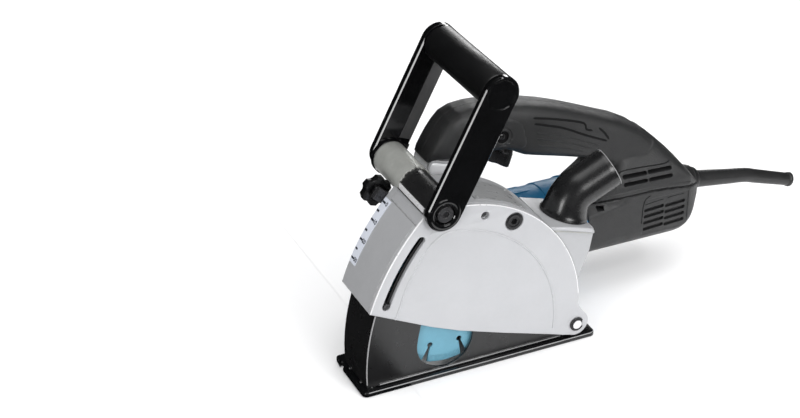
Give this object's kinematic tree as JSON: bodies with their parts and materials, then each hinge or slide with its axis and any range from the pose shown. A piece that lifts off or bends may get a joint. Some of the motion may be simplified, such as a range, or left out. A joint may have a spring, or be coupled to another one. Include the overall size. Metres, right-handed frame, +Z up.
{
  "type": "wall chaser",
  "caption": "Corded wall chaser: twin diamond wheels in a plunging cast case on a slotted sole, with loop front grip, dust elbow and rear handle.",
  "frame": {"origin": "on the sole's ground plane, straight below the plunge pivot, midway across the wheel guard", "axes": "-X is the direction of travel, +Y points to the motor side, +Z up"},
  "size_m": [0.4626, 0.1295, 0.2619],
  "materials": {
    "cast_silver": "satin silver enamel on die-cast aluminium",
    "black_enamel": "satin black powder coat on sheet steel",
    "dark_plastic": "fine textured dark grey moulding",
    "blue_plastic": "fine textured blue moulding",
    "gloss_black": "smooth glossy black moulding",
    "black_plastic": "satin black moulding",
    "black_rubber": "flexible black rubber",
    "steel": "machined steel",
    "spring_steel": "drawn spring steel",
    "wheel_blue": "blue lacquer on a steel wheel core",
    "scale_white": "printed pale scale strip",
    "grey_metal": "bare brushed plate",
    "brass": "pressed brass",
    "carbon": "pressed carbon",
    "core_iron": "stacked lamination iron with copper winding",
    "copper": "copper segments"
  },
  "bodies": {
    "base": {"base_plate": "black_enamel", "inner_guard": "black_enamel", "guard_screws": "steel", "guide_pin": "steel"},
    "case": {"wheel_case": "cast_silver", "side_cover": "cast_silver", "cover_bolt": "black_enamel", "slot_seal": "black_rubber", "top_plate": "grey_metal", "depth_scale": "scale_white", "pivot_pin": "steel", "pin_clips": "spring_steel", "return_spring": "spring_steel", "gear_housing": "cast_silver", "gear_cover": "cast_silver", "gear_cover_screws": "steel", "bearing_near": "steel", "bearing_far": "steel", "motor_housing": "blue_plastic", "field_stator": "core_iron", "bearing_front": "steel", "bearing_rear": "steel", "rear_housing": "dark_plastic", "brush_holders": "brass", "carbon_brushes": "carbon", "handle_near": "dark_plastic", "handle_far": "dark_plastic", "handle_screws": "steel", "trigger_pin": "steel", "switch_block": "black_plastic", "cord_guard": "black_rubber", "elbow_ring": "black_rubber"},
    "spindle_set": {"spindle": "steel", "ring_gear": "steel", "inner_flange": "steel", "wheel_far": "wheel_blue", "spacer_rings": "steel", "wheel_near": "wheel_blue", "lock_nut": "steel"},
    "armature": {"armature_shaft": "steel", "armature_core": "core_iron", "commutator": "copper", "cooling_fan": "black_plastic", "pinion_gear": "steel"},
    "trigger": {"trigger": "black_plastic"},
    "lock_button": {"lock_button": "black_plastic"},
    "shaft_lock": {"shaft_lock": "black_plastic"},
    "front_grip": {"grip_arm_near": "gloss_black", "grip_arm_far": "gloss_black", "grip_tube": "black_rubber", "toothed_sleeve": "black_plastic", "grip_bolts": "steel"},
    "elbow": {"dust_elbow": "black_plastic"},
    "stop": {"depth_stop": "black_enamel"},
    "knob": {"star_knob": "gloss_black"}
  },
  "joints": [
    {"name": "plunge", "type": "hinge", "parent": "base", "child": "case", "pos_m": [0, 0, 0.0172], "axis": [0, -1, 0], "range_deg": [0, 18.7], "stiffness_Nm_per_rad": 9, "springref_deg": -45.84},
    {"name": "spindle_spin", "type": "hinge", "parent": "case", "child": "spindle_set", "pos_m": [-0.115, 0, 0.0667], "axis": [0, 1, 0], "continuous": true},
    {"name": "armature_spin", "type": "hinge", "parent": "case", "child": "armature", "pos_m": [-0.05, 0.056, 0.0667], "axis": [1, 0, 0], "continuous": true},
    {"name": "trigger_pull", "type": "hinge", "parent": "case", "child": "trigger", "pos_m": [-0.0485, 0.056, 0.154], "axis": [0, -1, 0], "range_deg": [0, 8], "stiffness_Nm_per_rad": 0.4, "springref_deg": -14.32},
    {"name": "lock_press", "type": "slide", "parent": "case", "child": "lock_button", "axis": [0, 1, 0], "range_m": [0, 0.0018], "stiffness_N_per_m": 300, "springref_m": -0.002},
    {"name": "shaft_lock_press", "type": "slide", "parent": "case", "child": "shaft_lock", "axis": [0, 0, -1], "range_m": [0, 0.003], "stiffness_N_per_m": 300, "springref_m": -0.003},
    {"name": "grip_swing", "type": "hinge", "parent": "case", "child": "front_grip", "pos_m": [-0.1257, 0.015, 0.1559], "axis": [0, 1, 0], "range_deg": [-75, 0]},
    {"name": "elbow_turn", "type": "hinge", "parent": "case", "child": "elbow", "pos_m": [-0.0016, -0.002, 0.1083], "axis": [0.2924, 0, 0.9563], "range_deg": [-180, 60]},
    {"name": "stop_slide", "type": "hinge", "parent": "case", "child": "stop", "pos_m": [0, 0, 0.0172], "axis": [0, -1, 0], "range_deg": [0, 17.5]},
    {"name": "knob_turn", "type": "hinge", "parent": "stop", "child": "knob", "pos_m": [-0.151, 0.036, 0.1462], "axis": [0, 1, 0], "continuous": true}
  ],
  "couplings": [
    {"joint": "armature_spin", "follows": "spindle_spin", "ratio": 3}
  ]
}
